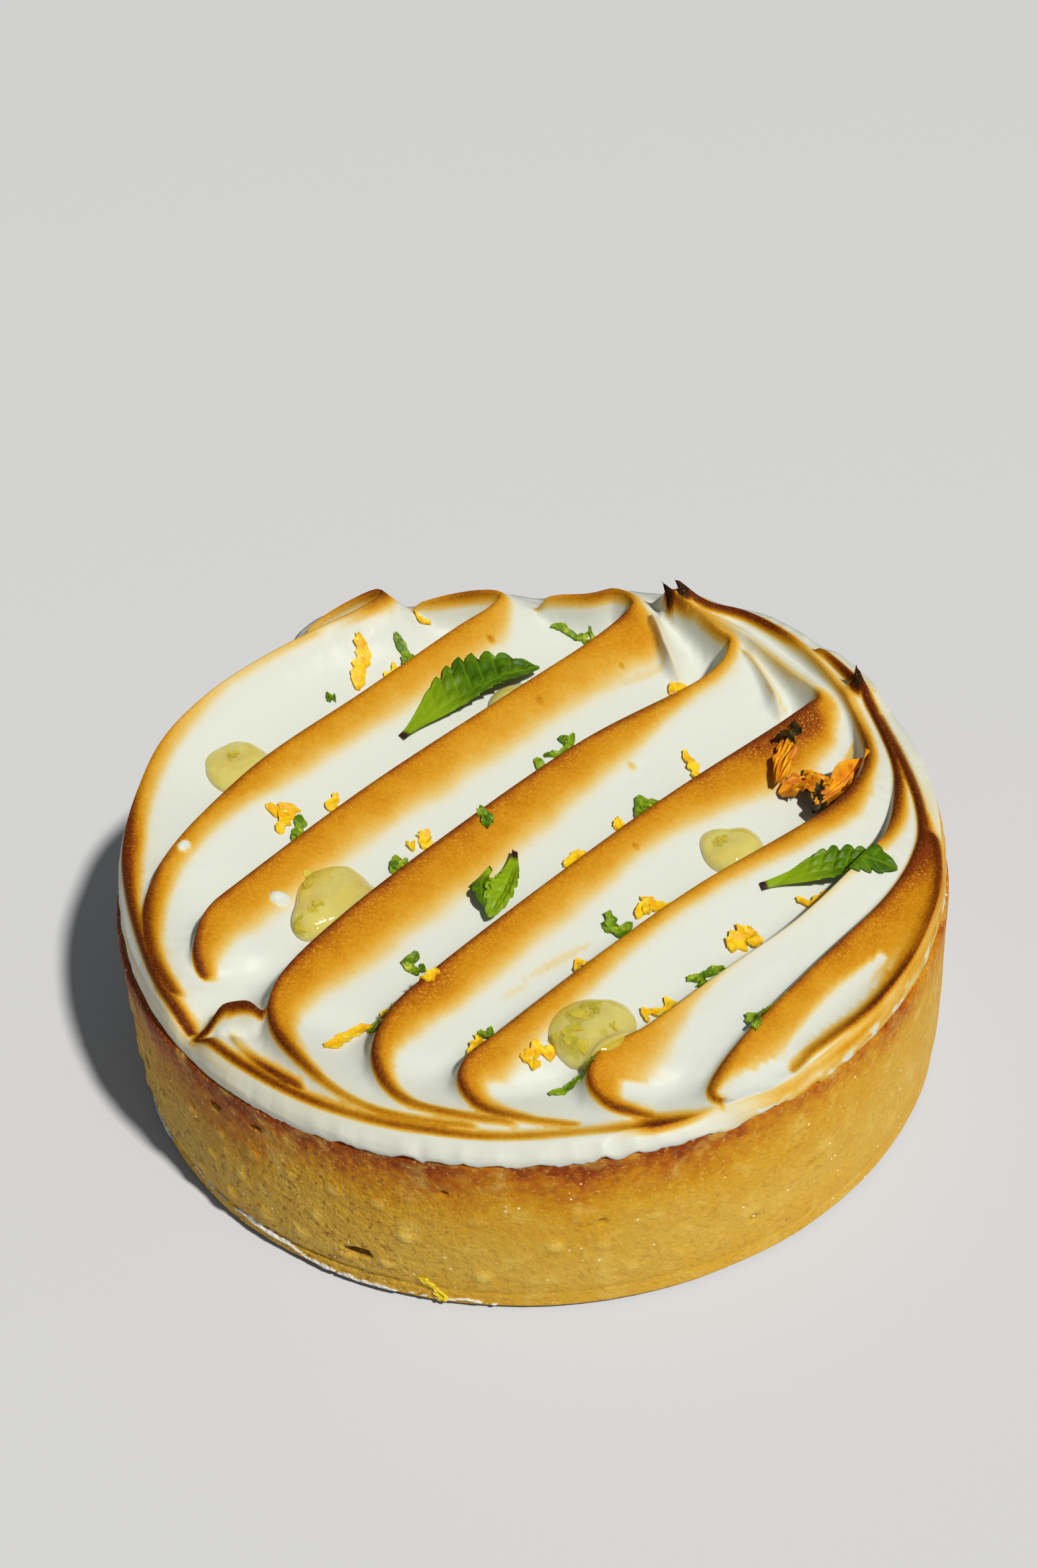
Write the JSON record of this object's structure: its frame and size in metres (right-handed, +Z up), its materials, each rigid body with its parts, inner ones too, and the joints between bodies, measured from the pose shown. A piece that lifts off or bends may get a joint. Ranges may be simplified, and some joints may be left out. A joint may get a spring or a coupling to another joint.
{
  "type": "meringue tart",
  "caption": "whole lemon meringue tart with toasted spatula strokes, drops of lemon gel, mint leaves and dried petals",
  "frame": {"origin": "centre of the flat underside", "axes": "+Z up out of the meringue; -Y towards the side that faces the viewer; the strokes run from +X +Y to -X -Y"},
  "size_m": [0.0856, 0.0856, 0.0326],
  "materials": {
    "pastry": "baked",
    "meringue": "satin, toasted on the ridges",
    "gel": "wet gloss",
    "leaf": "satin",
    "petal": "dry"
  },
  "bodies": {
    "root": {"pastry_case": "pastry", "meringue": "meringue", "lemon_gel_1": "gel", "lemon_gel_2": "gel", "lemon_gel_3": "gel", "lemon_gel_4": "gel", "lemon_gel_5": "gel", "mint_leaf_1": "leaf", "mint_leaf_2": "leaf", "mint_leaf_3": "leaf", "dried_petal_large": "petal", "dried_petal_small": "petal"}
  },
  "joints": []
}
